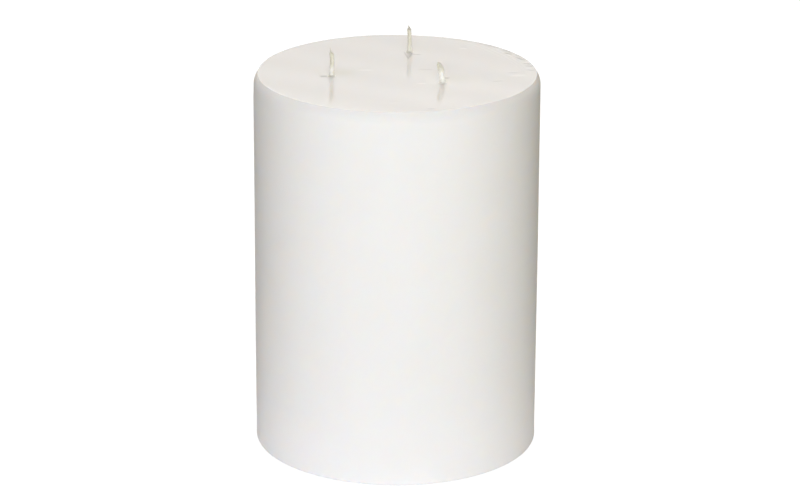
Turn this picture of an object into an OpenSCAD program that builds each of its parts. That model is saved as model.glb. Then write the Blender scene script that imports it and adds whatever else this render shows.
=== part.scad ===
// Three-wick pillar candle: a poured wax pillar, a second pour that fills its base,
// and three braided cotton wicks, each crimped into a stamped tab and sealed at the top.
// Millimetres. The origin is the middle of the base, +Z is up, and +Y points to the back.

/* [Wax pillar] */
// Diameter of the pillar
pillar_d = 150; // [126:1:220]
// Height of the pillar, from the table to its flat top
pillar_h = 202; // [80:1:300]
// Width of the bevelled shoulder round the top, measured inwards
shoulder_w = 2.1; // [1.2:0.1:5]
// Height of the bevelled shoulder
shoulder_h = 3.6; // [2.4:0.1:8]
// Radius of the soft corner between the shoulder and the side
shoulder_side_r = 3; // [0.6:0.1:4]
// Radius of the soft corner between the shoulder and the top
shoulder_top_r = 0.5; // [0.3:0.1:1.2]
// Radius of the melted edge round the base
base_edge_r = 1.2; // [0.4:0.1:3]
// Width of the ring that the candle stands on, with its edge
foot_w = 9; // [6:0.5:15]

/* [Second pour] */
// Depth of the shrinkage hollow in the base that the second pour fills
pour_depth = 14; // [11:0.5:24]
// How far the second pour has sunk above the table
pour_sink = 0.6; // [0.3:0.1:2]

/* [Wick pattern] */
// Diameter of the circle that the wicks stand on
wick_circle_d = 69.4; // [40:0.2:74]
// Angle of the rear wick, anticlockwise from +X
wick_turn = 78; // [0:0.5:120]
// Offset of the pattern from the pillar's axis, to the right
pattern_x = -1.4; // [-3:0.1:3]
// Offset of the pattern from the pillar's axis, to the back
pattern_y = 3.7; // [-4:0.1:4]
// How far the left wick was set off the even pattern: right, back
left_set = [0.4, -1.2]; // [-2:0.1:2]
// How far the rear wick was set off the even pattern: right, back
rear_set = [0.7, 0.9]; // [-2:0.1:2]
// How far the front wick was set off the even pattern: right, back
front_set = [-1, 0.2]; // [-2:0.1:2]

/* [Wick] */
// Diameter of the primed wick
wick_d = 2.5; // [1.6:0.1:4]
// Strands that the braid lays in each direction
braid_strands = 4; // [2:2:6]
// Height in which one strand goes once round the wick
braid_lead = 8; // [6:0.5:20]
// Depth of the valleys between the strands
braid_relief = 0.42; // [0.1:0.02:0.6]
// Height of the left stub above the wax
left_h = 15.1; // [6:0.1:24]
// How far the left tip leans: right, back
left_lean = [-0.9, 0.5]; // [-3:0.1:3]
// How far the left stub bows out below its tip: right, back
left_bow = [1.2, -0.2]; // [-2:0.1:2]
// How much thicker the left stub is above its middle than at its foot, as a share
left_swell = -0.08; // [-0.2:0.02:0.4]
// Height of the rear stub above the wax
rear_h = 14.8; // [6:0.1:24]
// How far the rear tip leans: right, back
rear_lean = [-0.6, 0.6]; // [-3:0.1:3]
// How far the rear stub bows out below its tip: right, back
rear_bow = [0.3, 0.3]; // [-2:0.1:2]
// How much thicker the rear stub is above its middle than at its foot, as a share
rear_swell = -0.08; // [-0.2:0.02:0.4]
// Height of the front stub above the wax
front_h = 10.8; // [6:0.1:24]
// How far the front tip leans: right, back
front_lean = [-2.5, 0.9]; // [-3:0.1:3]
// How far the front stub bows out below its tip: right, back
front_bow = [-0.4, -1.4]; // [-2:0.1:2]
// How much thicker the front stub is above its middle than at its foot, as a share
front_swell = 0.32; // [-0.2:0.02:0.4]
// Share of the full thickness that is left at a frayed tip
frayed_tip = 0.34; // [0.2:0.02:1]
// Share of the full thickness that is left at a blunt, snipped tip
blunt_tip = 0.9; // [0.2:0.02:1]
// Length over which a tip thins
tip_len = 3.2; // [1:0.1:6]

/* [Wick tab] */
// Diameter of the stamped disc
tab_d = 20; // [14:0.5:24]
// Thickness of the tinplate
tab_t = 0.4; // [0.3:0.05:0.8]
// Height of the drawn neck above the underside of the disc
neck_h = 6.5; // [4:0.5:9]
// Width of the flare where the disc is drawn up into the neck
flare_w = 2.2; // [1:0.1:4]
// Height of that flare
flare_h = 1.6; // [0.9:0.1:3]
// Crimp marks round the neck
crimp_count = 4; // [2:1:6]
// Depth of a crimp mark
crimp_depth = 0.2; // [0.05:0.05:0.25]

/* [Wick seal] */
// Width of the ring of wax that seals a wick at the top
seal_w = 0.7; // [0.5:0.1:3]
// Depth of that ring below the top
seal_depth = 5; // [2:0.5:12]
// How far the rim of that ring lies below the top
seal_dip = 0.05; // [0.05:0.05:1]
// Width of the crater's sloping rim round the seal
crater_w = 0.3; // [0.2:0.1:2]
// Depth of the crater
crater_h = 0.15; // [0.1:0.05:2]

/* [Clearances] */
// Gap between two pours of wax, and between wax and tab
wax_gap = 0.05; // [0.02:0.01:0.2]
// Gap between the wick and its channel through the wax
channel_gap = 0.15; // [0.05:0.05:0.4]
// Gap between the wick and the neck that is crimped on it
crimp_gap = 0.05; // [0.02:0.01:0.15]

/* [Hidden] */
$fn = 96;

wax_colour = [0.95, 0.94, 0.92];
pour_colour = [0.93, 0.92, 0.89];
cotton_colour = [0.88, 0.85, 0.76];
tinplate_colour = [0.72, 0.72, 0.70];

pillar_r = pillar_d / 2;
wick_r = wick_d / 2;
tab_r = tab_d / 2;
channel_r = wick_r + channel_gap;
seal_inner_r = wick_r + wax_gap;
seal_outer_r = seal_inner_r + seal_w;
seal_room_r = seal_outer_r + wax_gap;
neck_bore_r = wick_r + crimp_gap;
neck_r = neck_bore_r + tab_t;
flare_r = neck_r + flare_w;

// The second pour is a cap of a sphere, as wide at the table as the foot ring leaves open.
pour_r = pillar_r - foot_w;
pour_ball_r = (pour_r * pour_r + pour_depth * pour_depth) / (2 * pour_depth);

// The wicks stand a third of a turn apart, each a little off its even place.
function even_place(angle) = [
    pattern_x + wick_circle_d / 2 * cos(angle),
    pattern_y + wick_circle_d / 2 * sin(angle),
    0];
rear_place = even_place(wick_turn) + [rear_set.x, rear_set.y, 0];
left_place = even_place(wick_turn + 120) + [left_set.x, left_set.y, 0];
front_place = even_place(wick_turn + 240) + [front_set.x, front_set.y, 0];

// Rings along a braided stub and points round it, and how deep its root lies in the seal.
stub_rings = 54;
stub_sides = 24;
root_depth = seal_depth / 2;
// Share of a stub's height at which its bow is measured.
bow_share = 2 / 3;
// Share of a stub's height at which its swelling is widest, and how far the swelling spreads.
swell_share = 0.62;
swell_spread = 0.33;
// A strand's height where it dives under another, as a share of its height where it crosses over.
under_share = 0.2;
// The lip that the seal leaves against the wick, and an overshoot for clean cuts.
seal_lip = 0.12;
cut = 1;
// Facets round the wide ball of the second pour.
ball_facets = 256;

// Soft corners

// Circle that rounds the corner at p between the directions to its two neighbours.
function unit(v) = v / norm(v);
function half_turn(p, before, after) =
    acos(unit(before - p) * unit(after - p)) / 2;
function corner_reach(p, before, after, r) = r / tan(half_turn(p, before, after));
function corner_centre(p, before, after, r) =
    p + unit(unit(before - p) + unit(after - p)) * r / sin(half_turn(p, before, after));
function towards(p, q, reach) = p + unit(q - p) * reach;

// Outline of half the pillar, from its axis: base edge, side, bevelled shoulder, flat top.
module pillar_profile() {
    base_mid = [0, 0];
    base_corner = [pillar_r, 0];
    shoulder_foot = [pillar_r, pillar_h - shoulder_h];
    shoulder_head = [pillar_r - shoulder_w, pillar_h];
    top_mid = [0, pillar_h];
    foot_reach = corner_reach(shoulder_foot, base_corner, shoulder_head, shoulder_side_r);
    head_reach = corner_reach(shoulder_head, shoulder_foot, top_mid, shoulder_top_r);
    polygon([
        base_mid,
        towards(base_corner, base_mid, base_edge_r),
        towards(base_corner, shoulder_foot, base_edge_r),
        towards(shoulder_foot, base_corner, foot_reach),
        towards(shoulder_foot, shoulder_head, foot_reach),
        towards(shoulder_head, shoulder_foot, head_reach),
        towards(shoulder_head, top_mid, head_reach),
        top_mid]);
    translate(corner_centre(base_corner, base_mid, shoulder_foot, base_edge_r))
        circle(base_edge_r);
    translate(corner_centre(shoulder_foot, base_corner, shoulder_head, shoulder_side_r))
        circle(shoulder_side_r);
    translate(corner_centre(shoulder_head, shoulder_foot, top_mid, shoulder_top_r))
        circle(shoulder_top_r);
}

// Cap of the pour's ball above a floor, made smaller by a gap: the second pour, or its hollow.
module pour_cap(floor_z, gap) {
    rotate_extrude()
        intersection() {
            translate([0, pour_depth - pour_ball_r])
                circle(pour_ball_r - gap, $fn = ball_facets);
            translate([0, floor_z])
                square([pillar_r, pour_depth - floor_z]);
        }
}

// Channel of a wick through all the wax.
module wick_channel() {
    translate([0, 0, -cut])
        cylinder(r = channel_r, h = pillar_h + 2 * cut);
}

// Outer form of a stamped tab, grown all round by a gap: disc, flare and neck.
module tab_form(gap) {
    rotate_extrude()
        polygon([
            [0, 0],
            [tab_r + gap, 0],
            [tab_r + gap, tab_t + gap],
            [flare_r + gap, tab_t + gap],
            [neck_r + gap, flare_h + gap],
            [neck_r + gap, neck_h + gap],
            [0, neck_h + gap]]);
}

// Room for a tab in the wax, open to the underside.
module tab_room() {
    translate([0, 0, pour_sink])
        tab_form(wax_gap);
    cylinder(r = tab_r + wax_gap, h = pour_sink + tab_t);
}

// Room for the seal of a wick in the top of the wax, with the crater round it.
module seal_room() {
    translate([0, 0, pillar_h - seal_depth])
        cylinder(r = seal_room_r, h = seal_depth + cut);
    translate([0, 0, pillar_h - crater_h])
        cylinder(r1 = seal_room_r, r2 = seal_room_r + crater_w, h = crater_h);
}

module at_each_wick() {
    for (place = [left_place, rear_place, front_place])
        translate(place)
            children();
}

// The first pour: the pillar itself, with its wick channels and the hollow in its base.
module wax_body() {
    color(wax_colour)
        difference() {
            rotate_extrude()
                pillar_profile();
            pour_cap(-cut, 0);
            at_each_wick() {
                wick_channel();
                tab_room();
                seal_room();
            }
        }
}

// The second pour: a shallow dome of wax that fills the hollow and holds the tabs.
module base_pour() {
    color(pour_colour)
        difference() {
            pour_cap(pour_sink, wax_gap);
            at_each_wick() {
                wick_channel();
                tab_room();
            }
        }
}

// Braided stub

// Point and direction at share t of the cubic curve from the foot to the tip.
// It leaves the wax upright, heads for aim and ends at tip.
function stub_rise(tip) = [0, 0, tip.z / 3];
function stub_point(tip, aim, t) =
    3 * (1 - t) * (1 - t) * t * stub_rise(tip) + 3 * (1 - t) * t * t * aim + t * t * t * tip;
function stub_heading(tip, aim, t) = unit(
    (1 - t) * (1 - t) * stub_rise(tip)
    + 2 * (1 - t) * t * (aim - stub_rise(tip))
    + t * t * (tip - aim));

// Height of the braid's surface, from 0 in a valley to 1 on a strand that crosses over.
// Two families of strands run round in opposite ways and take turns to lie on top.
function strand(phase) = (1 + cos(phase)) / 2;
function braid_height(turn, rise) =
    let (
        slip = 360 * rise / braid_lead,
        with_turn = braid_strands * (turn - slip),
        against_turn = braid_strands * (turn + slip),
        over = (1 + cos(with_turn / 2) * cos(against_turn / 2)) / 2)
    max(
        strand(with_turn) * (under_share + (1 - under_share) * over),
        strand(against_turn) * (1 - (1 - under_share) * over));

// Share of the full thickness at a height: a smooth swelling above the middle of the stub,
// which thins smoothly over the length of the tip.
function swelling(rise, height, swell) =
    let (from_widest = (rise / height - swell_share) / swell_spread)
    1 + swell * exp(-from_widest * from_widest);
function thinning(rise, height, swell, tip_share) =
    let (
        full = swelling(rise, height, swell),
        u = max(0, (rise - height + tip_len) / tip_len))
    full - (full - tip_share) * u * u * (3 - 2 * u);

// One ring of points round the stub, square to its heading, of a given share of the full thickness.
function stub_ring(centre, heading, rise, thickness) =
    let (right = unit(cross([0, 1, 0], heading)), back = cross(heading, right))
    [for (k = [0:stub_sides - 1])
        let (
            turn = 360 * k / stub_sides,
            radius = thickness * (wick_r - braid_relief * (1 - braid_height(turn, rise))))
        centre + radius * (cos(turn) * right + sin(turn) * back)];

// Rings from the root, down in the seal, up to the tip.
function stub_points(tip, aim, swell, tip_share) = [
    for (p = stub_ring([0, 0, -root_depth], [0, 0, 1], -root_depth, 1)) p,
    for (i = [0:stub_rings])
        let (t = i / stub_rings, rise = t * tip.z)
        for (p = stub_ring(stub_point(tip, aim, t), stub_heading(tip, aim, t),
                           rise, thinning(rise, tip.z, swell, tip_share))) p];

function stub_faces() =
    let (n = stub_sides, last = stub_rings + 1)
    [[for (k = [0:n - 1]) k],
     for (i = [0:last - 1], k = [0:n - 1])
        let (a = i * n + k, b = i * n + (k + 1) % n)
        each [[a, a + n, b], [b, a + n, b + n]],
     [for (k = [n - 1:-1:0]) last * n + k]];

// A wick: plain and primed where the wax holds it, and an open braid where it stands free.
module wick(place, height, lean, bow, swell, tip_share) {
    tip = [lean.x, lean.y, height];
    aim = [bow.x, bow.y, bow_share * height];
    color(cotton_colour)
        translate(place) {
            translate([0, 0, pour_sink])
                cylinder(r = wick_r, h = pillar_h - root_depth / 2 - pour_sink);
            translate([0, 0, pillar_h])
                polyhedron(stub_points(tip, aim, swell, tip_share), stub_faces(), convexity = 6);
        }
}

// A wick tab: a tinplate disc drawn up into a neck that is crimped on the wick.
module wick_tab(place) {
    crimp_r = tab_t;
    color(tinplate_colour)
        translate(place + [0, 0, pour_sink])
            difference() {
                tab_form(0);
                translate([0, 0, -cut])
                    cylinder(r = neck_bore_r, h = neck_h + 2 * cut);
                // The sheet has one thickness, so the flare is hollow from below.
                cylinder(r1 = flare_r - tab_t, r2 = neck_bore_r, h = flare_h - tab_t);
                for (k = [0:crimp_count - 1])
                    rotate(360 * k / crimp_count)
                        translate([neck_r + crimp_r - crimp_depth, 0, flare_h + tab_t])
                            cylinder(r = crimp_r, h = neck_h);
            }
}

// A wick seal: a ring of wax that closes the channel and climbs a little up the wick.
module wick_seal(place) {
    climb = seal_w - seal_lip;
    foot = pillar_h - seal_depth + wax_gap;
    rim = pillar_h - seal_dip;
    color(wax_colour)
        translate(place)
            rotate_extrude()
                difference() {
                    translate([seal_inner_r, foot])
                        square([seal_w, rim + climb - foot]);
                    translate([seal_outer_r, rim + climb])
                        circle(climb);
                }
}

wax_body();
base_pour();
wick(left_place, left_h, left_lean, left_bow, left_swell, frayed_tip);  // wick_left
wick(rear_place, rear_h, rear_lean, rear_bow, rear_swell, frayed_tip);  // wick_rear
wick(front_place, front_h, front_lean, front_bow, front_swell, blunt_tip);  // wick_front
wick_tab(left_place);  // wick_tab_left
wick_tab(rear_place);  // wick_tab_rear
wick_tab(front_place);  // wick_tab_front
wick_seal(left_place);  // wick_seal_left
wick_seal(rear_place);  // wick_seal_rear
wick_seal(front_place);  // wick_seal_front
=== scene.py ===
"""The looks of a white pillar candle with three braided wicks, built round its solids.

Lengths are in metres, and MM turns the millimetres of the workshop into metres.
"""

import bpy
import numpy as np
from mathutils import Matrix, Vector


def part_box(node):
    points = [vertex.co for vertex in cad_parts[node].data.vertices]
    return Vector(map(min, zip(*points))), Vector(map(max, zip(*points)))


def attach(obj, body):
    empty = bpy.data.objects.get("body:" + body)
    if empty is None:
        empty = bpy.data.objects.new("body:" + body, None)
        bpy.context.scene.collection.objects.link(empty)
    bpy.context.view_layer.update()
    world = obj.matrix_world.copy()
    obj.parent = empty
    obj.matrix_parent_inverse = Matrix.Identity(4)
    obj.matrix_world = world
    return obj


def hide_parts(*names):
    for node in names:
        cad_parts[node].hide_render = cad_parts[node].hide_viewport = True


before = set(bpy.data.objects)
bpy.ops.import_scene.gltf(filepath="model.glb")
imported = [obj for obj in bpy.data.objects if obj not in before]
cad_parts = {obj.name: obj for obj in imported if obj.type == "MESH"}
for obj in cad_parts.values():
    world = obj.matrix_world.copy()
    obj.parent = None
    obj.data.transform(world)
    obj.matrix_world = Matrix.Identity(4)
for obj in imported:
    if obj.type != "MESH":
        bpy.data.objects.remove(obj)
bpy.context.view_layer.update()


# Camera
# A long lens in front of the candle, high enough to look down on the whole top.
# The picture is 800 pixels wide, and its middle is where the lens points.
MM = 0.001
picture_width = 800
focal_length_px = 3282
camera_place = np.array([0.4, -1645, 676]) * MM
pitch, yaw, roll = np.radians([19.206, 0.055, -0.283])

ahead = np.array([np.sin(yaw) * np.cos(pitch), np.cos(yaw) * np.cos(pitch), -np.sin(pitch)])
level = np.array([np.cos(yaw), -np.sin(yaw), 0])
upright = np.cross(level, ahead)
to_right = np.cos(roll) * level - np.sin(roll) * upright
to_top = np.sin(roll) * level + np.cos(roll) * upright

camera_data = bpy.data.cameras.new("camera")
camera_data.sensor_width = 36
camera_data.lens = camera_data.sensor_width * focal_length_px / picture_width
camera = bpy.data.objects.new("camera", camera_data)
turn_and_place = np.eye(4)
turn_and_place[:3] = np.column_stack([to_right, to_top, -ahead, camera_place])
camera.matrix_world = Matrix(turn_and_place)
bpy.context.scene.collection.objects.link(camera)
bpy.context.scene.camera = camera


# Wax pillar
# The first pour: paraffin set in a round mould, turned out, and pared to a bevel round the top.
# It has a channel for each wick, and a shallow hollow in its base where the wax shrank.
pillar_high = np.array(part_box("wax_body")[1])
pillar_r = pillar_high[0]
pillar_h = pillar_high[2]
bevel_w = 2.1 * MM
bevel_h = 3.6 * MM
bevel_side_r = 7 * MM
bevel_top_r = 0.5 * MM
base_edge_r = 1.2 * MM
foot_w = 9 * MM
hollow_depth = 14 * MM
channel_r = 1.4 * MM
seal_room_r = 2.05 * MM
crater_w = 0.1 * MM
crater_h = 0.05 * MM
# The crater's slope: shares of its width outwards, and of its depth.
CRATER_SLOPE = ((0, 1), (0.3, 0.55), (0.6, 0.25), (1, 0.07), (1.5, 0))

# Each wick stands over the middle of its tab.
WICKS = ("rear", "left", "front")
tab_corners = {wick: [np.array(c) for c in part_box(f"wick_tab_{wick}")] for wick in WICKS}
wick_place = {wick: (low[:2] + high[:2]) / 2 for wick, (low, high) in tab_corners.items()}

# The web of the pillar's faces: columns in each wick's share of the rim, and along a share's edges.
# They crowd together where the rim is scuffed.
arc_columns = 180
edge_columns = 56
web_circle_r = 58 * MM
scuffed_bearing = np.radians(28)
scuffed_reach = np.radians(24)
crowding = 2.6
rim_samples = 400
# Its rows: over the hollow, over the top round each wick, and up the outside from the foot.
hollow_rows = 7
web_rows = 44
web_spread = 1.5
foot_rows = 3
edge_rows = 6
side_rows = 26
bevel_arc_rows = 9
bevel_rows = 3
rim_rows = 30


def round_corner(corner, before, after, radius, steps):
    """Points of the arc that rounds a corner: its centre lies on the bisector of the two sides,
    radius / sin(half the angle) from the corner, and it touches both sides."""
    to_before = (before - corner) / np.linalg.norm(before - corner)
    to_after = (after - corner) / np.linalg.norm(after - corner)
    half_angle = np.arccos(to_before @ to_after) / 2
    middle = (to_before + to_after) / np.linalg.norm(to_before + to_after)
    centre = corner + middle * radius / np.sin(half_angle)
    start = corner + to_before * radius / np.tan(half_angle) - centre
    sweep = np.pi - 2 * half_angle
    across = -middle * radius - start * np.cos(sweep / 2)
    across = across / np.linalg.norm(across) * radius
    share = np.linspace(0, sweep, steps)[:, None]
    return centre + start * np.cos(share) + across * np.sin(share)


def stretch(start, end, steps):
    """Points between two ends of a straight stretch, without the ends themselves."""
    share = np.linspace(0, 1, steps + 2)[1:-1, None]
    return start + (end - start) * share


def share_bearings():
    """First and last bearing of each wick's share of the round, midway between it and the next."""
    bearings = np.unwrap([np.arctan2(*wick_place[wick][::-1]) for wick in WICKS])
    last = (bearings + np.append(bearings[1:], bearings[0] + 2 * np.pi)) / 2
    first = np.append(last[-1] - 2 * np.pi, last[:-1])
    return list(zip(first, last))


def bell(distance, width):
    """A smooth bump of height 1 that is about twice as broad as its width."""
    return np.exp(-(distance / width) ** 2)


def share_turns(first, last):
    """Bearings of the columns in one share of the rim: evenly spaced along the running sum of a
    crowding that is 1 all round and rises in a bump over the scuffed part."""
    even = np.linspace(first, last, rim_samples)
    from_scuffs = (even - scuffed_bearing + np.pi) % (2 * np.pi) - np.pi
    run = np.cumsum(1 + crowding * bell(from_scuffs, scuffed_reach))
    run = (run - run[0]) / (run[-1] - run[0])
    return np.interp(np.linspace(0, 1, arc_columns, endpoint=False), run, even)


def wick_shares(circle_r):
    """The circle's face cut into one share for each wick by lines from the axis. Gives, for each
    wick, the loop of points round its share: out along the last line, round the circle, and in along
    the first line, clockwise as seen from above."""
    out = np.linspace(0, circle_r, edge_columns, endpoint=False)[:, None]
    back = np.linspace(circle_r, 0, edge_columns, endpoint=False)[:, None]
    loops = {}
    for wick, (first, last) in zip(WICKS, share_bearings()):
        turn = share_turns(first, last)
        loop = np.concatenate([
            out * [np.cos(first), np.sin(first)],
            circle_r * np.column_stack([np.cos(turn), np.sin(turn)]),
            back * [np.cos(last), np.sin(last)]])
        loops[wick] = loop[::-1]
    return loops


def rim_turns():
    """Bearings of the columns round the whole pillar, as the shares' arcs set them."""
    return np.concatenate([share_turns(first, last) for first, last in share_bearings()])


def ring_about(wick, loop, radius):
    """Points of a ring round a wick, one on the ray to each point of the loop round its share."""
    ray = loop - wick_place[wick]
    return wick_place[wick] + radius * ray / np.linalg.norm(ray, axis=1, keepdims=True)


def strip_faces(rows, columns, first=0):
    """Corner numbers of the quads of a grid whose columns close on themselves."""
    row, column = np.meshgrid(np.arange(rows - 1), np.arange(columns), indexing="ij")
    beside = (column + 1) % columns
    a, b = row * columns + column, row * columns + beside
    return first + np.stack([a, b, b + columns, a + columns], -1).reshape(-1, 4)


def joined(strips):
    """One set of points and quads from several strips, with points in the same place made one."""
    points = np.concatenate([strip.reshape(-1, 3) for strip in strips])
    starts = np.cumsum([0] + [strip.shape[0] * strip.shape[1] for strip in strips])
    quads = np.concatenate([
        strip_faces(*strip.shape[:2], first) for strip, first in zip(strips, starts)])
    same = 0.0005 * MM
    _, kept, number = np.unique(np.round(points / same).astype(int), axis=0, return_index=True,
                                return_inverse=True)
    return points[kept], number.reshape(-1)[quads]


def new_piece(name, points, faces, material, sharp_from=40):
    """A mesh object of these points and faces, smooth but for edges sharper than the angle given."""
    mesh = bpy.data.meshes.new(name)
    mesh.from_pydata(points, [], [tuple(face) for face in faces])
    mesh.polygons.foreach_set("use_smooth", np.ones(len(mesh.polygons), bool))
    mesh.set_sharp_from_angle(angle=np.radians(sharp_from))
    mesh.materials.append(material)
    piece = bpy.data.objects.new(name, mesh)
    bpy.context.scene.collection.objects.link(piece)
    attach(piece, "root")
    return piece


def paint(piece, name, values):
    """A value at each point of a piece, for its material to read."""
    layer = piece.data.attributes.new(name, "FLOAT", "POINT")
    layer.data.foreach_set("value", values.astype(np.float32))


def dome_height(radius):
    """Height of the hollow's dome: the cap of a ball that is as wide as the foot leaves open."""
    opening = pillar_r - foot_w
    ball_r = (opening ** 2 + hollow_depth ** 2) / (2 * hollow_depth)
    return hollow_depth - ball_r + np.sqrt(ball_r ** 2 - radius ** 2)


# The small marks in the top: each one's middle, half length and width in millimetres, its bearing in
# degrees, the height of its step in millimetres, and its share of soil and painted shade. A step down
# away from the front looks dark and a step up looks bright; on a step the soil is deepened by painted
# shade, and the two strokes with no step, at the rear wick's foot, are painted shade only.
TOP_MARKS = (
    ((-37.9, -8.8), 1.9, 2.0, 8, -0.16, 0.55),
    ((10.0, 33.9), 2.4, 0.9, -10, -0.10, 0.3),
    ((4.9, 31.3), 6.5, 0.5, -80, 0, 0.5),
    ((7.2, 32.2), 5.5, 0.5, -98, 0, 0.5),
    ((25.8, -11.0), 1.2, 1.0, -5, -0.14, 0.5),
    ((15.0, 4.8), 3.6, 1.1, -2, -0.06, 0.12),
    ((12.7, -21.0), 1.9, 1.0, 1, 0.10, 0),
    ((-16.4, 3.2), 3.4, 1.2, 1, 0.12, 0),
    ((35.4, 45.8), 1.8, 1.4, 8, 0.12, 0),
    ((63.1, -5.4), 4.2, 2.0, 8, 0.16, 0),
    ((60.6, -0.4), 2.8, 1.0, 1, -0.08, 0.12),
    ((52.1, -16.2), 2.7, 1.0, 22, -0.07, 0.1),
    ((17.3, -66.2), 1.7, 1.0, 1, -0.10, 0.15),
    ((-1.3, -56.3), 2.0, 0.9, 31, 0.06, 0),
    ((58.9, 36.7), 2.3, 0.9, -38, -0.24, 0.55),
    ((64.7, 27.0), 2.8, 0.9, -58, -0.20, 0.45),
    ((69.4, 17.2), 2.6, 0.9, -12, -0.26, 0.55),
    ((69.9, 12.8), 2.0, 0.9, 1, -0.26, 0.55),
    ((69.8, 5.1), 1.8, 0.8, -10, -0.20, 0.4),
)
step_steepness = 4
largest_power = 40
tail_widths = 5
end_power = 4


def mark_shares(x, y):
    """Height and share of soil and painted shade of each mark at these places. The height is a soft step
    across the mark, which dies away slowly behind it and fades towards both its ends, and the soil and
    its painted shade lie on the step."""
    for (mark_x, mark_y), length, width, bearing, height, soiling_and_shade in TOP_MARKS:
        turn = np.radians(bearing)
        along = (x - mark_x) * np.cos(turn) + (y - mark_y) * np.sin(turn)
        across = (y - mark_y) * np.cos(turn) - (x - mark_x) * np.sin(turn)
        power = np.clip(-step_steepness * across / width, -largest_power, largest_power)
        step = 1 / (1 + np.exp(power))
        tail = np.exp(-np.maximum(across, 0) / (tail_widths * width))
        ends = np.exp(-(along / length) ** end_power)
        yield height * step * tail * ends, soiling_and_shade * bell(across, width) * ends


# The slow waves of the top and its swelling round each wick, in millimetres.
wave_h = 0.05
wave_x = 17
wave_y = 21
wave_start_x = 0.6
wave_start_y = -0.4
slant_wave_h = 0.03
slant_wave = 11
slant = 1.7
swelling_h = 0.05
swelling_w = 7
# The wrinkles by the rim, in millimetres and degrees: their place, then the rate and wobble of their
# rings, and the turn and slant of their breaks.
wrinkle_h = 0.05
wrinkle_bearing = 28
wrinkle_reach = 26
wrinkle_r = 67.5
wrinkle_w = 5
ring_rate = 2.6
ring_wobble = 1.3
wobble_turn = 5
break_turn = 2.3
break_slant = 0.4


def top_relief(x, y):
    """Height of the top above its flat plane: long slow waves left by cooling, a soft swelling round
    each wick, the small marks, and fine wrinkles by the rim where the bevel was pared on the right.
    The wrinkles are a sine outwards, bent by one round the rim, times a sine that breaks them up."""
    relief = wave_h * np.sin(x / wave_x + wave_start_x) * np.cos(y / wave_y + wave_start_y)
    relief = relief + slant_wave_h * np.sin((x + slant * y) / slant_wave)
    for place in wick_place.values():
        from_wick = np.hypot(x - place[0] / MM, y - place[1] / MM)
        relief = relief + swelling_h * bell(from_wick, swelling_w)
    relief = relief + sum(height for height, _ in mark_shares(x, y))
    radius = np.hypot(x, y)
    bearing = np.degrees(np.arctan2(y, x))
    wrinkled = bell(bearing - wrinkle_bearing, wrinkle_reach) * bell(radius - wrinkle_r, wrinkle_w)
    rings = np.sin(ring_rate * radius + ring_wobble * np.sin(bearing / wobble_turn))
    breaks = np.sin(bearing / break_turn + break_slant * radius)
    return relief + wrinkle_h * wrinkled * (rings * breaks)


def pillar_strips():
    """The pillar's skin: for each wick a strip that starts at the hollow's edge, crosses its dome,
    climbs the channel, opens into the shallow crater of the seal and spreads over the top; and one
    band from the foot up the side and over the bevel, turned about the axis."""
    opening = pillar_r - foot_w
    low_loops, high_loops = wick_shares(opening), wick_shares(web_circle_r)
    dome_steps = np.linspace(1, 0, hollow_rows)[:, None, None]
    web_steps = np.linspace(0, 1, web_rows)[1:, None, None] ** web_spread
    well = [(channel_r, pillar_h - crater_h)] + [
        (seal_room_r + out * crater_w, pillar_h - deep * crater_h) for out, deep in CRATER_SLOPE]
    strips = []
    for wick in WICKS:
        low_ring = ring_about(wick, low_loops[wick], channel_r)
        dome = low_ring + dome_steps * (low_loops[wick] - low_ring)
        dome_z = dome_height(np.linalg.norm(dome, axis=-1))
        walls = np.stack([ring_about(wick, high_loops[wick], radius) for radius, _ in well])
        wall_z = np.broadcast_to(np.array([z for _, z in well])[:, None], walls.shape[:2])
        lip = walls[-1]
        web = lip + web_steps * (high_loops[wick] - lip)
        web_z = np.full(web.shape[:2], pillar_h)
        flat = np.concatenate([dome, walls, web])
        height = np.concatenate([dome_z, wall_z, web_z])
        strips.append(np.dstack([flat, height]))

    side_foot = np.array([pillar_r, pillar_h - bevel_h])
    side_head = np.array([pillar_r - bevel_w, pillar_h])
    base_corner, base_inside = np.array([pillar_r, 0]), np.array([opening, 0])
    top_inside = np.array([web_circle_r, pillar_h])
    base_arc = round_corner(base_corner, base_inside, side_foot, base_edge_r, edge_rows)
    foot_arc = round_corner(side_foot, base_corner, side_head, bevel_side_r, bevel_arc_rows)
    head_arc = round_corner(side_head, side_foot, top_inside, bevel_top_r, edge_rows)
    profile = np.concatenate([
        base_inside[None], stretch(base_inside, base_arc[0], foot_rows), base_arc,
        stretch(base_arc[-1], foot_arc[0], side_rows), foot_arc,
        stretch(foot_arc[-1], head_arc[0], bevel_rows), head_arc,
        stretch(head_arc[-1], top_inside, rim_rows), top_inside[None]])
    turns = rim_turns()
    band = np.dstack([
        profile[:, :1] * np.cos(turns), profile[:, :1] * np.sin(turns),
        np.broadcast_to(profile[:, 1:], (len(profile), len(turns)))])
    return strips + [band]


# Waves that paring left round the bevel: height in millimetres, number of them round it, and phase.
PARING = ((0.10, 3, 1), (0.07, 7, 2), (0.05, 19, 0))
# Waves that handling left in the side: height, number round it, and millimetres up it for a radian.
HANDLING = ((0.05, 2, 41), (0.03, 5, -23))
# How far in these waves lie, so that none stands out past the full size, and where they and the
# relief of the top fade out, all in millimetres.
pared_in = 0.22
handled_in = 0.08
relief_fade = 1.2
edge_room = 0.5
side_fade = 12
foot_fade = 8


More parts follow.
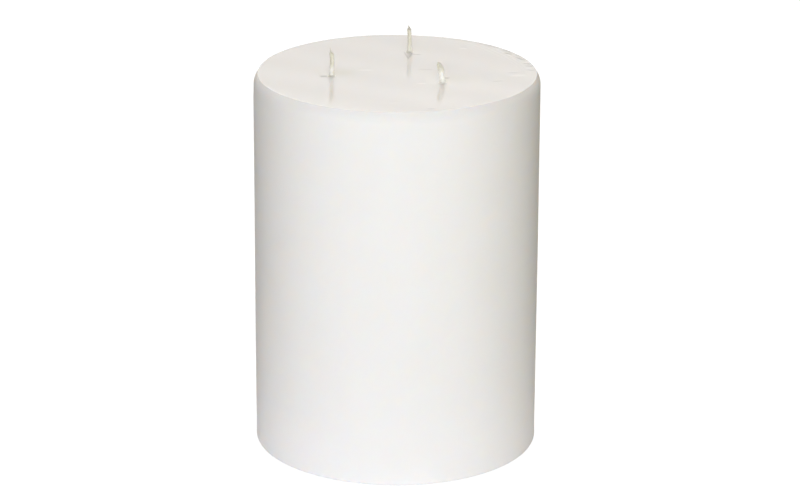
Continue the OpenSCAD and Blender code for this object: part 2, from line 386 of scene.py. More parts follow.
def weathered(points):
    """The pillar's points with the relief of the top, and with the slight waviness of a pared bevel
    and of a side that has been handled: sums of a few sines round the pillar and up it."""
    x, y, z = (points / MM).T
    radius = np.hypot(x, y)
    turn = np.arctan2(y, x)
    top_r = (pillar_r - bevel_w) / MM
    on_top = (z > (pillar_h - 2 * crater_h) / MM) & (radius < top_r + edge_room)
    fade = np.clip((top_r - radius) / relief_fade, 0, 1)
    z = z + np.where(on_top, top_relief(x, y) * fade, 0)
    near_top = np.clip((z - (pillar_h - 2 * bevel_h) / MM) / (bevel_h / MM), 0, 1)
    paring = sum(height * np.sin(count * turn + phase) for height, count, phase in PARING)
    handling = sum(height * np.sin(count * turn + z / length) for height, count, length in HANDLING)
    outside = np.clip((radius - web_circle_r / MM) / side_fade, 0, 1) * np.clip(z / foot_fade, 0, 1)
    deeper = outside * (handling - handled_in + near_top * (paring - pared_in))
    scale = 1 + np.minimum(deeper, 0) / np.maximum(radius, 1)
    return np.column_stack([x * scale, y * scale, z]) * MM


wax_clouds = bpy.data.node_groups.new("wax_clouds", "ShaderNodeTree")
wax_clouds.interface.new_socket("Scale", in_out="INPUT", socket_type="NodeSocketFloat")
wax_clouds.interface.new_socket("Cloud", in_out="OUTPUT", socket_type="NodeSocketFloat")
wax_clouds.interface.new_socket("Grain", in_out="OUTPUT", socket_type="NodeSocketFloat")
cloud_in = wax_clouds.nodes.new("NodeGroupInput")
cloud_out = wax_clouds.nodes.new("NodeGroupOutput")
cloud_where = wax_clouds.nodes.new("ShaderNodeTexCoord")
cloud_noise = wax_clouds.nodes.new("ShaderNodeTexNoise")
cloud_noise.inputs["Detail"].default_value = 3
cloud_noise.inputs["Roughness"].default_value = 0.45
grain_noise = wax_clouds.nodes.new("ShaderNodeTexNoise")
grain_noise.inputs["Detail"].default_value = 5
grain_scale = wax_clouds.nodes.new("ShaderNodeMath")
grain_scale.operation = "MULTIPLY"
grain_scale.inputs[1].default_value = 9
wax_clouds.links.new(cloud_where.outputs["Object"], cloud_noise.inputs["Vector"])
wax_clouds.links.new(cloud_where.outputs["Object"], grain_noise.inputs["Vector"])
wax_clouds.links.new(cloud_in.outputs["Scale"], cloud_noise.inputs["Scale"])
wax_clouds.links.new(cloud_in.outputs["Scale"], grain_scale.inputs[0])
wax_clouds.links.new(grain_scale.outputs[0], grain_noise.inputs["Scale"])
wax_clouds.links.new(cloud_noise.outputs["Fac"], cloud_out.inputs["Cloud"])
wax_clouds.links.new(grain_noise.outputs["Fac"], cloud_out.inputs["Grain"])


def mapped(tree, value, low, high):
    """A value from 0 to 1 carried over to the range from low to high."""
    node = tree.nodes.new("ShaderNodeMapRange")
    node.inputs["To Min"].default_value = low
    node.inputs["To Max"].default_value = high
    tree.links.new(value, node.inputs["Value"])
    return node.outputs["Result"]


def mixed(tree, share, first, second):
    """Two colours mixed by a share. A colour is a linked socket or three numbers."""
    node = tree.nodes.new("ShaderNodeMix")
    node.data_type = "RGBA"
    tree.links.new(share, node.inputs["Factor"])
    for socket, colour in ((node.inputs["A"], first), (node.inputs["B"], second)):
        if isinstance(colour, tuple):
            socket.default_value = (*colour, 1)
        else:
            tree.links.new(colour, socket)
    return node.outputs["Result"]


def painted(tree, name):
    """The value that is painted on a piece's points under this name."""
    node = tree.nodes.new("ShaderNodeAttribute")
    node.attribute_name = name
    return node.outputs["Fac"]


cloud_scale = 42
side_spread = 0.06
top_spread = 0.03


def wax_material(name, milky, cream, shaded, soiled_and_shaded, side_rough, top_rough, depth, gloss=0.5):
    """Candle wax: light goes in to a small depth, the colour drifts between a milky and a creamy
    white, and is darker where it is painted as oily, and where it is painted with soil and painted
    shade.
    The skin has one roughness, and another where it is painted as polished."""
    material = bpy.data.materials.new(name)
    material.use_nodes = True
    tree = material.node_tree
    skin = tree.nodes["Principled BSDF"]
    clouds = tree.nodes.new("ShaderNodeGroup")
    clouds.node_tree = wax_clouds
    clouds.inputs["Scale"].default_value = cloud_scale
    drift = mapped(tree, clouds.outputs["Cloud"], -0.35, 0.75)
    wax = mixed(tree, drift, milky, cream)
    wax = mixed(tree, painted(tree, "wick_oil"), wax, shaded)
    wax = mixed(tree, painted(tree, "soiling_and_shade"), wax, soiled_and_shaded)
    tree.links.new(wax, skin.inputs["Base Color"])
    side = mapped(tree, clouds.outputs["Grain"], side_rough - side_spread, side_rough + side_spread)
    top = mapped(tree, clouds.outputs["Grain"], top_rough - top_spread, top_rough + top_spread)
    finish = tree.nodes.new("ShaderNodeMix")
    tree.links.new(painted(tree, "polish"), finish.inputs["Factor"])
    tree.links.new(side, finish.inputs["A"])
    tree.links.new(top, finish.inputs["B"])
    tree.links.new(finish.outputs["Result"], skin.inputs["Roughness"])
    relief = tree.nodes.new("ShaderNodeBump")
    relief.inputs["Strength"].default_value = 0.05
    relief.inputs["Distance"].default_value = 0.1 * MM
    tree.links.new(clouds.outputs["Grain"], relief.inputs["Height"])
    tree.links.new(relief.outputs["Normal"], skin.inputs["Normal"])
    skin.inputs["IOR"].default_value = 1.43
    skin.inputs["Specular IOR Level"].default_value = gloss
    skin.inputs["Subsurface Weight"].default_value = 1 if depth else 0
    skin.inputs["Subsurface Radius"].default_value = (1.0, 0.88, 0.75)
    skin.inputs["Subsurface Scale"].default_value = depth
    return material


pillar_wax = wax_material("pillar_wax", milky=(0.9, 0.885, 0.865), cream=(0.88, 0.86, 0.825),
                          shaded=(0.79, 0.773, 0.69), soiled_and_shaded=(0.46, 0.445, 0.42),
                          side_rough=0.88, top_rough=0.11, depth=0.7 * MM)

pillar_points, pillar_quads = joined(pillar_strips())
pillar_points = weathered(pillar_points)
pillar = new_piece("wax_pillar", pillar_points, pillar_quads, pillar_wax)
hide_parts("wax_body")

# Oil from the primed wicks has crept into the wax to the right of them and behind, less at the rear.
OIL_SHARES = {"left": 0.6, "rear": 0.1, "front": 0.5}
oil_reach = 9 * MM
oil_drift = np.array([5, 7]) * MM
oil = sum(OIL_SHARES[wick]
          * bell(np.linalg.norm(pillar_points[:, :2] - place - oil_drift, axis=1), oil_reach)
          for wick, place in wick_place.items())
on_top = np.clip((pillar_points[:, 2] - pillar_h + bevel_h) / bevel_h, 0, 1)
paint(pillar, "wick_oil", oil * on_top)

# The edge of the top is a little darker towards the back, and darker in patches where it was scuffed on
# the right: two sines round the rim, the first of them bent by a third. The smooth skin of the top ends
# at this edge, where the bevel was pared.
edge_w = 2.6 * MM
back_darkening = 0.12
scuff_soil = 0.75
soiled_bearing = np.radians(36)
soiled_reach = np.radians(26)
patch_level = 0.6
patch_swing = 0.4
patch_count = 17
patch_bend = 3
patch_bends = 5
fine_patch_count = 37
fine_patch_start = 1
skin_end = 0.6 * MM
rim_r = np.hypot(*pillar_points[:, :2].T)
rim_turn = np.arctan2(pillar_points[:, 1], pillar_points[:, 0])
coarse = np.sin(patch_count * rim_turn + patch_bend * np.sin(patch_bends * rim_turn))
fine = np.sin(fine_patch_count * rim_turn + fine_patch_start)
patches = patch_level + patch_swing * coarse * fine
scuffs = patches * bell(rim_turn - soiled_bearing, soiled_reach)
edge_darkening = back_darkening * np.clip(np.sin(rim_turn), 0, 1) + scuff_soil * scuffs
# The marks add soil, and painted shade on their steps and at the rear wick's foot.
soiling_and_shade = sum(mark_darkening for _, mark_darkening in mark_shares(*pillar_points[:, :2].T / MM))
soiling_and_shade = soiling_and_shade + edge_darkening * bell(rim_r - pillar_r + bevel_w, edge_w)
paint(pillar, "soiling_and_shade", np.clip(soiling_and_shade, 0, 1) * on_top)
paint(pillar, "polish", np.clip((pillar_r - bevel_w + skin_end - rim_r) / skin_end, 0, 1) * on_top)


# Second pour
# Wax poured into the hollow of the base once the first had set, to level it and to hold the tabs.
# It has shrunk a little in its turn, so it lies just above the table and has sunk between the tabs.
pour_low, pour_high = (np.array(corner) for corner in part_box("base_pour"))
pour_floor = pour_low[2]
pour_gap = 0.05 * MM
tab_r = (tab_corners["rear"][1][0] - tab_corners["rear"][0][0]) / 2
tab_top = tab_corners["rear"][1][2]
tab_sheet = 0.4 * MM
neck_r = 1.7 * MM
flare_r = 3.9 * MM
flare_top = pour_floor + 1.6 * MM
# How far the underside has sunk between the tabs, and how soon it does from the edge and from a tab.
sink = 0.5 * MM
sink_from_edge = 6 * MM
sink_from_tab = 9 * MM
underside_rows = 16
pour_dome_rows = 9
pour_oil_share = 0.3


def pour_strips():
    """The second pour's skin: for each tab a strip over the underside, up the walls of the tab's room
    and the wick's channel, and over the dome to its edge, where it meets the underside. The underside
    sinks away from the edge and from the tabs along exponential curves."""
    edge_r = pour_high[0]
    loops = wick_shares(edge_r)
    floor_steps = np.linspace(1, 0, underside_rows)[:, None, None]
    dome_steps = np.linspace(0, 1, pour_dome_rows)[1:, None, None]
    room = [
        (tab_r + pour_gap, pour_floor + tab_sheet + pour_gap),
        (flare_r + pour_gap, pour_floor + tab_sheet + pour_gap),
        (neck_r + pour_gap, flare_top + pour_gap),
        (neck_r + pour_gap, tab_top + pour_gap),
        (channel_r, tab_top + pour_gap)]
    strips = []
    for wick in WICKS:
        tab_ring = ring_about(wick, loops[wick], tab_r + pour_gap)
        underside = tab_ring + floor_steps * (loops[wick] - tab_ring)
        sunk = 1 - np.exp((np.linalg.norm(underside, axis=-1) - edge_r) / sink_from_edge)
        for place in wick_place.values():
            from_tab = np.linalg.norm(underside - place, axis=-1) - tab_r
            sunk = sunk * (1 - np.exp(-np.maximum(from_tab, 0) / sink_from_tab))
        underside_z = pour_floor + sink * sunk
        walls = np.stack([ring_about(wick, loops[wick], radius) for radius, _ in room])
        wall_z = np.broadcast_to(np.array([z for _, z in room])[:, None], walls.shape[:2])
        dome = walls[-1] + dome_steps * (loops[wick] - walls[-1])
        dome_r = np.linalg.norm(dome, axis=-1)
        dome_z = np.maximum(dome_height(dome_r) - pour_gap, pour_floor)
        dome_z[dome_r > edge_r - pour_gap] = pour_floor
        flat = np.concatenate([underside, walls, dome])
        height = np.concatenate([underside_z, wall_z, dome_z])
        strips.append(np.dstack([flat, height]))
    return strips


pour_wax = wax_material("pour_wax", milky=(0.88, 0.865, 0.84), cream=(0.86, 0.83, 0.78),
                        shaded=(0.80, 0.75, 0.62), soiled_and_shaded=(0.5, 0.46, 0.41),
                        side_rough=0.5, top_rough=0.5, depth=0.7 * MM)
pour_points, pour_quads = joined(pour_strips())
pour = new_piece("base_fill", pour_points, pour_quads, pour_wax)
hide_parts("base_pour")
pour_oil = sum(bell(np.linalg.norm(pour_points[:, :2] - place, axis=1), tab_r + oil_reach)
               for place in wick_place.values())
paint(pour, "wick_oil", pour_oil_share * pour_oil)
paint(pour, "polish", np.zeros(len(pour_points)))
paint(pour, "soiling_and_shade", np.zeros(len(pour_points)))


# Wick tabs
# Discs stamped from tinplate and drawn up into a neck, which is crimped on the wick's lower end.
# They lie flush in the second pour, and show from below.
tinplate = bpy.data.materials.new("tinplate")
tinplate.use_nodes = True
tin_tree = tinplate.node_tree
tin = tin_tree.nodes["Principled BSDF"]
tin.inputs["Metallic"].default_value = 1
tin_where = tin_tree.nodes.new("ShaderNodeTexCoord")
spangle = tin_tree.nodes.new("ShaderNodeTexVoronoi")
spangle.inputs["Scale"].default_value = 420
rolling = tin_tree.nodes.new("ShaderNodeMapping")
rolling.inputs["Scale"].default_value = (60, 2400, 600)
rolled = tin_tree.nodes.new("ShaderNodeTexNoise")
rolled.inputs["Scale"].default_value = 1
rolled.inputs["Detail"].default_value = 4
tin_tree.links.new(tin_where.outputs["Object"], spangle.inputs["Vector"])
tin_tree.links.new(tin_where.outputs["Object"], rolling.inputs["Vector"])
tin_tree.links.new(rolling.outputs["Vector"], rolled.inputs["Vector"])
tin_tree.links.new(mixed(tin_tree, spangle.outputs["Distance"], (0.62, 0.62, 0.6), (0.5, 0.5, 0.49)),
                   tin.inputs["Base Color"])
tin_tree.links.new(mapped(tin_tree, rolled.outputs["Fac"], 0.22, 0.46), tin.inputs["Roughness"])
tin_lines = tin_tree.nodes.new("ShaderNodeBump")
tin_lines.inputs["Strength"].default_value = 0.15
tin_lines.inputs["Distance"].default_value = 0.05 * MM
tin_tree.links.new(rolled.outputs["Fac"], tin_lines.inputs["Height"])
tin_tree.links.new(tin_lines.outputs["Normal"], tin.inputs["Normal"])

for wick in WICKS:
    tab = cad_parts[f"wick_tab_{wick}"]
    tab.data.materials.clear()
    tab.data.materials.append(tinplate)


# Wicks
# Cotton yarns braided round a soft core and primed with wax, four strands each way.
# Each runs from its tab up through the wax, and was snipped by hand a little above the top.
wick_r = 1.25 * MM
braid_lead = 8 * MM
strands_each_way = 4
strand_circle_r = 0.76 * MM
strand_lift = 0.2 * MM
strand_w = 0.54 * MM
strand_t = 0.3 * MM
core_r = 0.62 * MM
ply_count = 3
ply_lead = 2.6 * MM
ply_depth = 0.1
root_depth = 3.2 * MM
bow_share = 2 / 3
swell_share = 0.62
swell_spread = 0.33
tip_len = 3.2 * MM
strand_rings = 170
strand_sides = 14
core_rings = 40
core_sides = 24

# Each stub's height, lean of its tip and bow below its tip in millimetres, and the share of its
# thickness that is left at its tip.
STUBS = {
    "left": (15.1, (-0.9, 0.5), (1.2, -0.2), 0.34),
    "rear": (14.8, (-0.6, 0.6), (0.3, 0.3), 0.34),
    "front": (10.8, (-2.5, 0.9), (-0.4, -0.5), 0.9),
}
# The share by which a stub is thicker above its middle than at its foot, where its braid was pressed
# open, or thinner, where it was drawn tight.
SWELLINGS = {"left": -0.08, "rear": -0.08, "front": 0.32}
# How far the strands of a stub end below its tip, the least and the most in millimetres, and how grey
# its tip is. One strand runs on to the tip.
FRAYS = {"left": (2.3, 2.9, 0.45), "rear": (1.0, 2.6, 0.6), "front": (0.3, 0.8, 0.1)}
longest_below_tip = 0.05
loose_reach = 0.12 * MM
LOOSE_RANGE = (-1, 2)
snip_len = 0.5 * MM
snip_least = 0.001
# How high in millimetres the wax clings to a stub, how white it makes it, how dark the painted shade on
# the stub's left side is, and how light the painted highlight on its right side.
COATS_AND_SIDE_SHADING = {"left": (6.5, 0.85, 0.4, 0.5), "rear": (6, 0.5, 0.5, 0.5), "front": (8.5, 0.95, 0, 0.4)}
coat_fade = 3 * MM
dust_len = 4 * MM
# How far from a stub's middle the painted shade in the valleys of its braid reaches.
valley_level = 1.3
valley_r_share = 0.85
most_tint = 0.7
braid_seed = 40
braid_sharp_from = 60


def stub_line(wick, rise):
    """Points of a stub's middle at these heights: straight up out of the wax, then a cubic curve that
    starts upright, heads for the bow and ends at the leaning tip."""
    height, lean, bow, _ = STUBS[wick]
    share = np.clip(rise / (height * MM), 0, None)[:, None]
    start = np.array([0, 0, height / 3])
    aim = np.array([*bow, bow_share * height])
    tip = np.array([*lean, height])
    curve = (3 * (1 - share) ** 2 * share * start + 3 * (1 - share) * share ** 2 * aim
             + share ** 3 * tip) * MM
    curve[:, 2] += np.minimum(rise, 0)
    return curve + np.append(wick_place[wick], pillar_h)


def square_frame(line):
    """Heading of a line at each of its points, and two directions square to it and to each other."""
    heading = np.gradient(line, axis=0)
    heading /= np.linalg.norm(heading, axis=1, keepdims=True)
    right = np.cross([0.0, 1.0, 0.0], heading)
    right /= np.linalg.norm(right, axis=1, keepdims=True)
    return heading, right, np.cross(heading, right)


def thinning(wick, rise):
    """Share of the full thickness at these heights: 1 at the foot, a smooth bump above the middle, and
    less over the length of the tip."""
    height, _, _, tip_share = STUBS[wick]
    share = np.clip((rise - height * MM + tip_len) / tip_len, 0, 1)
    swelling = 1 + SWELLINGS[wick] * bell(rise / (height * MM) - swell_share, swell_spread)
    return swelling - (swelling - tip_share) * share ** 2 * (3 - 2 * share)


def strand_tube(wick, way, number, draw):
    """A strand of the braid: its middle winds round the stub, one turn in the lead, and lifts over
    and dives under the strands that wind the other way in turn. Its section is an ellipse with the
    ridges of its twisted plies, and it thins to nothing at its snipped end."""
    height = STUBS[wick][0] * MM
    least_fray, most_fray, _ = FRAYS[wick]
    longest = (way, number) == (1, 0)
    below_tip = longest_below_tip if longest else draw.uniform(least_fray, most_fray)
    end = height - below_tip * MM
    rise = np.linspace(-root_depth, end, strand_rings)
    middle = stub_line(wick, rise)
    _, right, back = square_frame(middle)
    slim = thinning(wick, rise)
    wind = 2 * np.pi * rise / braid_lead
    turn = way * wind + 2 * np.pi * number / strands_each_way
    out = np.cos(turn)[:, None] * right + np.sin(turn)[:, None] * back
    lift = strand_circle_r + way * strand_lift * np.cos(strands_each_way * wind)
    near_end = np.clip(1 - (end - rise) / tip_len, 0, 1)
    loose = loose_reach * near_end ** 2 * draw.uniform(*LOOSE_RANGE)
    line = middle + (lift * slim + loose)[:, None] * out
    heading = np.gradient(line, axis=0)
    heading /= np.linalg.norm(heading, axis=1, keepdims=True)
    across = np.cross(heading, out)
    across /= np.linalg.norm(across, axis=1, keepdims=True)
    outward = np.cross(across, heading)
    round_turn = np.linspace(0, 2 * np.pi, strand_sides, endpoint=False)
    ply = 1 + ply_depth * np.cos(ply_count * (round_turn - way * 2 * np.pi * rise[:, None] / ply_lead))
    snip = np.sqrt(np.clip((end - rise) / snip_len, snip_least, 1))
    size = (slim * snip)[:, None] * ply
    return (line[:, None] + (size * strand_t * np.cos(round_turn))[..., None] * outward[:, None]
            + (size * strand_w * np.sin(round_turn))[..., None] * across[:, None])


# Where the plain run in the wax has its rings, as shares of the pillar's height below its top, where
# it narrows to the core, as shares of the root's depth, and the radius and step at its closed ends.
RUN_SHARES = (0.6, 0.2)
core_from = 0.9
plain_from = 0.2
closed_r = 0.01 * MM
ring_step = 1e-7


def core_tube(wick):
    """The core of a wick and its plain run down to the tab: a round rod along the wick's middle, which
    narrows evenly from the run to the core and closes at both ends. The ends have two rings in one
    place, so a very small step is added before their headings are worked out."""
    height = STUBS[wick][0] * MM
    core_end = height - FRAYS[wick][1] * MM
    bottom = pour_floor - pillar_h
    run = [-share * pillar_h for share in RUN_SHARES]
    rise = np.concatenate([
        [bottom, bottom, *run, -2 * root_depth, -root_depth],
        np.linspace(-core_from * root_depth, core_end, core_rings), [core_end]])
    middle = stub_line(wick, rise)
    moving = middle + np.arange(len(rise))[:, None] * [0, 0, ring_step]
    _, right, back = square_frame(moving)
    plain = np.clip((-rise / root_depth - plain_from) / (1 - plain_from), 0, 1)
    radius = (core_r + (wick_r - core_r) * plain) * thinning(wick, rise)
    radius[[0, -1]] = closed_r
    turn = np.linspace(0, 2 * np.pi, core_sides, endpoint=False)[:, None]
    ring = np.cos(turn) * right[:, None] + np.sin(turn) * back[:, None]
    return middle[:, None] + radius[:, None, None] * ring


# The loose fibres: their number on a stub, the lowest and highest roots and the least and greatest
# reach in millimetres, the sway to a side, and how they leave the braid.
fibre_count = 46
fibre_steps = 6
fibre_sides = 3
fibre_r = 0.028 * MM
fibre_taper = 0.9
lowest_root = 0.6
highest_below_tip = 1.4
FIBRE_REACH = (0.35, 1.0)
fibre_sway = 0.35
root_share = 0.82
fibre_curl = 0.45
fibre_lift = np.array([0, 0, 0.8])


def fibre_tubes(wick, draw):
    """Loose cotton fibres: each leaves the braid's surface, slows as it goes out, bends upwards and to
    a side with the square of its length, and thins to a point."""
    height = STUBS[wick][0]
    rise = np.sort(draw.uniform(lowest_root, height - highest_below_tip, fibre_count) * MM)
    turn = draw.uniform(0, 2 * np.pi, fibre_count)
    reach = draw.uniform(*FIBRE_REACH, fibre_count) * MM
    sway = draw.normal(0, fibre_sway, fibre_count)
    middle = stub_line(wick, rise)
    heading, right, back = square_frame(middle)
    out = np.cos(turn)[:, None] * right + np.sin(turn)[:, None] * back
    beside = np.cos(turn + np.pi / 2)[:, None] * right + np.sin(turn + np.pi / 2)[:, None] * back
    root = middle + root_share * (wick_r * thinning(wick, rise))[:, None] * out
    share = np.linspace(0, 1, fibre_steps)[:, None, None]
    bend = beside * sway[:, None] + fibre_lift
    path = root + reach[:, None] * (out * share * (1 - fibre_curl * share) + bend * share ** 2)
    thick = fibre_r * (1 - fibre_taper * share[..., 0])
    spin = np.linspace(0, 2 * np.pi, fibre_sides, endpoint=False)
    ring = np.cos(spin)[:, None] * beside[:, None] + np.sin(spin)[:, None] * heading[:, None]
    return path[:, :, None] + thick[..., None, None] * ring


def tube_faces(rows, columns, first):
    """Quads of a tube, with a flat face at each end so that it is closed."""
    quads = strip_faces(rows, columns, first).tolist()
    start_face = list(range(first + columns - 1, first - 1, -1))
    end_face = list(range(first + (rows - 1) * columns, first + rows * columns))
    return quads + [start_face, end_face]


cotton = bpy.data.materials.new("primed_cotton")
cotton.use_nodes = True
cotton_tree = cotton.node_tree
yarn = cotton_tree.nodes["Principled BSDF"]
cotton_where = cotton_tree.nodes.new("ShaderNodeTexCoord")
lay_of_fibre = cotton_tree.nodes.new("ShaderNodeMapping")
lay_of_fibre.inputs["Scale"].default_value = (5200, 5200, 1100)
fibre_noise = cotton_tree.nodes.new("ShaderNodeTexNoise")
fibre_noise.inputs["Scale"].default_value = 1
fibre_noise.inputs["Detail"].default_value = 3
cotton_tree.links.new(cotton_where.outputs["Object"], lay_of_fibre.inputs["Vector"])
cotton_tree.links.new(lay_of_fibre.outputs["Vector"], fibre_noise.inputs["Vector"])
fibre = mixed(cotton_tree, mapped(cotton_tree, fibre_noise.outputs["Fac"], -0.3, 1.3),
              (0.64, 0.605, 0.465), (0.76, 0.73, 0.605))
fibre = mixed(cotton_tree, painted(cotton_tree, "tint"), fibre, (0.84, 0.815, 0.71))
# The valleys between the strands are painted darker: painted shade.
fibre = mixed(cotton_tree, painted(cotton_tree, "valley"), fibre, (0.64, 0.61, 0.48))
# The wax coat whitens the stub's foot, and the stub's right side is painted lighter as a painted
# highlight.
fibre = mixed(cotton_tree, painted(cotton_tree, "coat_and_highlight"), fibre, (0.92, 0.905, 0.835))
# The tip is greyed by dust, and the stub's left side is painted darker as painted shade.
cotton_tree.links.new(mixed(cotton_tree, painted(cotton_tree, "dust_and_shade"), fibre, (0.36, 0.35, 0.31)),
                      yarn.inputs["Base Color"])
cotton_tree.links.new(mapped(cotton_tree, fibre_noise.outputs["Fac"], 0.42, 0.7),
                      yarn.inputs["Roughness"])
cotton_relief = cotton_tree.nodes.new("ShaderNodeBump")
cotton_relief.inputs["Strength"].default_value = 0.4
cotton_relief.inputs["Distance"].default_value = 0.04 * MM
cotton_tree.links.new(fibre_noise.outputs["Fac"], cotton_relief.inputs["Height"])
cotton_tree.links.new(cotton_relief.outputs["Normal"], yarn.inputs["Normal"])
yarn.inputs["Subsurface Weight"].default_value = 0.2
yarn.inputs["Subsurface Radius"].default_value = (1.0, 0.8, 0.5)
yarn.inputs["Subsurface Scale"].default_value = 0.6 * MM
yarn.inputs["Sheen Weight"].default_value = 0.1

for seed, wick in enumerate(WICKS):
    draw = np.random.default_rng(braid_seed + seed)
    strands = [strand_tube(wick, way, number, draw)
               for way in (-1, 1) for number in range(strands_each_way)]
    fibres = fibre_tubes(wick, draw)
    tubes = [core_tube(wick)] + strands + [fibres[:, k] for k in range(fibres.shape[1])]
    wick_points = np.concatenate([tube.reshape(-1, 3) for tube in tubes])
    sizes = [tube.shape[0] * tube.shape[1] for tube in tubes]
    firsts = np.cumsum([0] + sizes)
    wick_faces = [
        face for tube, first in zip(tubes, firsts) for face in tube_faces(*tube.shape[:2], first)]
    braid = new_piece(f"braided_wick_{wick}", wick_points, wick_faces, cotton,
                      braid_sharp_from)
    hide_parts(f"wick_{wick}")
    rise = wick_points[:, 2] - pillar_h
    middle = stub_line(wick, rise)
    from_middle = np.linalg.norm(wick_points - middle, axis=1)
    # The valleys between the strands are painted darker towards the stub's middle: painted shade.
    valley_r = valley_r_share * wick_r * thinning(wick, rise)
    paint(braid, "valley", np.clip(valley_level - from_middle / valley_r, 0, 1))
    paint(braid, "tint", np.concatenate([np.full(size, draw.uniform(0, most_tint)) for size in sizes]))
    from_tip = STUBS[wick][0] * MM - rise
    coat_h, coat_white, left_shade, right_highlight = COATS_AND_SIDE_SHADING[wick]
    # The stub's left side is painted darker as painted shade, and its right side lighter as a painted
    # highlight.
    left_side = np.clip((middle - wick_points)[:, 0] / wick_r, 0, 1)
    right_side = np.clip((wick_points - middle)[:, 0] / wick_r, 0, 1)
    foot_coat = coat_white * np.clip((coat_h * MM - rise) / coat_fade, 0, 1)
    paint(braid, "coat_and_highlight", np.maximum(foot_coat, right_highlight * right_side ** 2))
    tip_dust = FRAYS[wick][2] * np.clip(1 - from_tip / dust_len, 0, 1)
    # The grey at the tip is dust; the grey on the left side is painted shade.
    paint(braid, "dust_and_shade", np.maximum(tip_dust, left_shade * left_side ** 2))


# Wick seals
# A ring of wax run in round each wick to close its channel, melted into the wax round it.
# Its rim is level with the top, and it has climbed a little up the wick as it set.
seal_inner_r = 1.05 * MM
seal_foot_r = 2 * MM
seal_outer_r = 2.3 * MM
seal_edge = 0.004 * MM
seal_lip = 0.06 * MM
seal_hollow = 2.2
seal_wander = 0.08 * MM
wander_waves = 3
seal_rows = 14
seal_columns = 72
seal_seed = 60
foot_share = 0.6
# How far in millimetres each seal has climbed up its wick.
SEAL_CLIMBS = {"left": 0.6, "rear": 0.6, "front": 0.55}
# How much oil each has taken up from its wick. The front seal has less, so that it is painted lighter:
# painted light against the shadow its wick casts on it.
SEAL_OILS_AND_LIGHTENING = {"left": 0.8, "rear": 0.8, "front": 0.2}
seal_foot = pillar_h - foot_share * crater_h


def seal_ring(wick, draw):
    """A closed ring turned about the wick: a flat foot, a hollow slope from the rim up to a thin lip on
    the wick, whose height is a power of the share of the way in, and a straight inside. The lip's
    height wanders round the wick as a sum of sines, and the ring follows the relief of the top."""
    climb = SEAL_CLIMBS[wick] * MM
    rim = pillar_h + seal_edge
    way_in = np.linspace(0, 1, seal_rows)
    slope_r = seal_outer_r - (seal_outer_r - seal_inner_r - seal_lip) * way_in
    hollow = np.column_stack([slope_r, rim + climb * way_in ** seal_hollow])
    profile = np.concatenate([
        [[seal_inner_r, seal_foot], [seal_foot_r, seal_foot]],
        hollow, [[seal_inner_r, rim + climb], [seal_inner_r, rim]]])
    turn = np.linspace(0, 2 * np.pi, seal_columns, endpoint=False)
    phase = draw.uniform(0, 2 * np.pi, wander_waves)
    wander = sum(np.sin((k + 1) * turn + p) / (k + 1) for k, p in enumerate(phase))
    share = np.clip((profile[:, 1:] - rim) / climb, 0, 1)
    height = profile[:, 1:] + share * seal_wander * wander
    ring = np.dstack([profile[:, :1] * np.cos(turn), profile[:, :1] * np.sin(turn), height])
    ring[..., :2] += wick_place[wick]
    ring[..., 2] += top_relief(ring[..., 0] / MM, ring[..., 1] / MM) * MM
    return np.concatenate([ring, ring[:1]])


seal_wax = wax_material("seal_wax", milky=(0.87, 0.85, 0.81), cream=(0.85, 0.825, 0.77),
                        shaded=(0.79, 0.773, 0.69), soiled_and_shaded=(0.5, 0.46, 0.41),
                        side_rough=0.45, top_rough=0.45, depth=0, gloss=0.15)
for seed, wick in enumerate(WICKS):
    seal_points, seal_quads = joined([seal_ring(wick, np.random.default_rng(seal_seed + seed))])
    seal = new_piece(f"seal_ring_{wick}", seal_points, seal_quads, seal_wax)
    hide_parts(f"wick_seal_{wick}")
    # The front seal is painted lighter than the others to lift its wick's shadow: painted light.
    paint(seal, "wick_oil", np.full(len(seal_points), SEAL_OILS_AND_LIGHTENING[wick]))
    paint(seal, "polish", np.ones(len(seal_points)))
    paint(seal, "soiling_and_shade", np.zeros(len(seal_points)))


# Studio
# A white floor that runs out to a white background, and plain soft light: a large lamp in front of
# the candle, one high behind it for the top, a weaker one at each side, and a dim panel that the top
# mirrors.
floor_half = 6.0
floor_gap = 0.05 * MM
floor_mesh = bpy.data.meshes.new("floor")
floor_square = np.array([(-1, -1, 0), (1, -1, 0), (1, 1, 0), (-1, 1, 0)])
floor_mesh.from_pydata(floor_square * floor_half - [0, 0, floor_gap], [], [(0, 1, 2, 3)])
floor = bpy.data.objects.new("floor", floor_mesh)
bpy.context.scene.collection.objects.link(floor)


def seen_directly(tree):
    """1 for rays that come from the camera, from a reflection or through glass, and 0 for the others."""
    path = tree.nodes.new("ShaderNodeLightPath")
    either = path.outputs["Is Camera Ray"]
    for other in ("Is Glossy Ray", "Is Transmission Ray"):
        larger = tree.nodes.new("ShaderNodeMath")
        larger.operation = "MAXIMUM"
        tree.links.new(either, larger.inputs[0])
        tree.links.new(path.outputs[other], larger.inputs[1])
        either = larger.outputs[0]
    return either


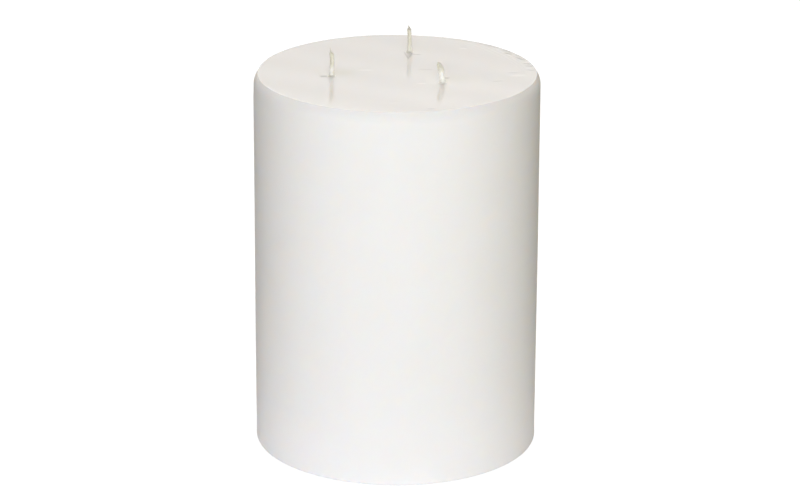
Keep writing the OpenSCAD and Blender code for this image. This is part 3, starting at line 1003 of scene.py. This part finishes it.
# The paper throws most light back near the candle, up to near_r, and less and less out to far_r.
near_paper = (0.86, 0.89, 0.95)
far_paper = (0.39, 0.41, 0.385)
near_r = 0.09
far_r = 0.21
paper = bpy.data.materials.new("white_paper")
paper.use_nodes = True
paper_tree = paper.node_tree
paper_tree.nodes.remove(paper_tree.nodes["Principled BSDF"])
paper_out = paper_tree.nodes["Material Output"]
bounce = paper_tree.nodes.new("ShaderNodeBsdfDiffuse")
floor_where = paper_tree.nodes.new("ShaderNodeTexCoord")
from_candle = paper_tree.nodes.new("ShaderNodeVectorMath")
from_candle.operation = "LENGTH"
paper_tree.links.new(floor_where.outputs["Object"], from_candle.inputs[0])
fall_off = paper_tree.nodes.new("ShaderNodeMapRange")
fall_off.interpolation_type = "SMOOTHSTEP"
fall_off.inputs["From Min"].default_value = near_r
fall_off.inputs["From Max"].default_value = far_r
paper_tree.links.new(from_candle.outputs["Value"], fall_off.inputs["Value"])
paper_tree.links.new(mixed(paper_tree, fall_off.outputs["Result"], near_paper, far_paper),
                     bounce.inputs["Color"])
shadowed = paper_tree.nodes.new("ShaderNodeBsdfDiffuse")
shadowed.inputs["Color"].default_value = (0.25, 0.25, 0.25, 1)
glow = paper_tree.nodes.new("ShaderNodeEmission")
glow.inputs["Strength"].default_value = 0.9
seen = paper_tree.nodes.new("ShaderNodeAddShader")
either_way = paper_tree.nodes.new("ShaderNodeMixShader")
paper_tree.links.new(shadowed.outputs[0], seen.inputs[0])
paper_tree.links.new(glow.outputs[0], seen.inputs[1])
paper_tree.links.new(seen_directly(paper_tree), either_way.inputs[0])
paper_tree.links.new(bounce.outputs[0], either_way.inputs[1])
paper_tree.links.new(seen.outputs[0], either_way.inputs[2])
paper_tree.links.new(either_way.outputs[0], paper_out.inputs["Surface"])
floor_mesh.materials.append(paper)

world = bpy.data.worlds.new("studio")
bpy.context.scene.world = world
world.use_nodes = True
world_tree = world.node_tree
room = world_tree.nodes["Background"]
room.inputs["Color"].default_value = (0.01, 0.012, 0.02, 1)
white = world_tree.nodes.new("ShaderNodeBackground")
white.inputs["Color"].default_value = (1, 1, 1, 1)
room_or_white = world_tree.nodes.new("ShaderNodeMixShader")
world_tree.links.new(seen_directly(world_tree), room_or_white.inputs[0])
world_tree.links.new(room.outputs[0], room_or_white.inputs[1])
world_tree.links.new(white.outputs[0], room_or_white.inputs[2])
world_tree.links.new(room_or_white.outputs[0], world_tree.nodes["World Output"].inputs["Surface"])


def soft_lamp(name, place, size, watts, colour, mirrored=False):
    """A square lamp with a diffuser, turned to the middle of the candle, and mirrored in it or not."""
    lamp_data = bpy.data.lights.new(name, "AREA")
    lamp_data.size = size
    lamp_data.energy = watts
    lamp_data.color = colour
    lamp = bpy.data.objects.new(name, lamp_data)
    lamp.visible_glossy = mirrored
    away = np.array(place) - [0, 0, pillar_h / 2]
    away /= np.linalg.norm(away)
    beside = np.cross([0, 0, 1], away)
    beside /= np.linalg.norm(beside)
    stand = np.eye(4)
    stand[:3] = np.column_stack([beside, np.cross(away, beside), away, place])
    lamp.matrix_world = Matrix(stand)
    bpy.context.scene.collection.objects.link(lamp)


soft_lamp("front_lamp", (0, -2.65, 0.8), 1.6, 67.6, (0.953, 0.968, 1))
soft_lamp("back_lamp", (0, 3.4, 5), 5, 267, (1, 0.945, 0.862))
soft_lamp("back_panel", (0, 2.35, 1.88), 2, 7, (1, 1, 1), mirrored=True)
soft_lamp("left_lamp", (-2.5, -0.2, 0.5), 1.6, 11.3, (1, 0.87, 0.79))
soft_lamp("right_lamp", (2.4, -0.75, 0.5), 1.6, 6.5, (1, 0.75, 0.3))

bpy.context.scene.view_settings.view_transform = "Standard"
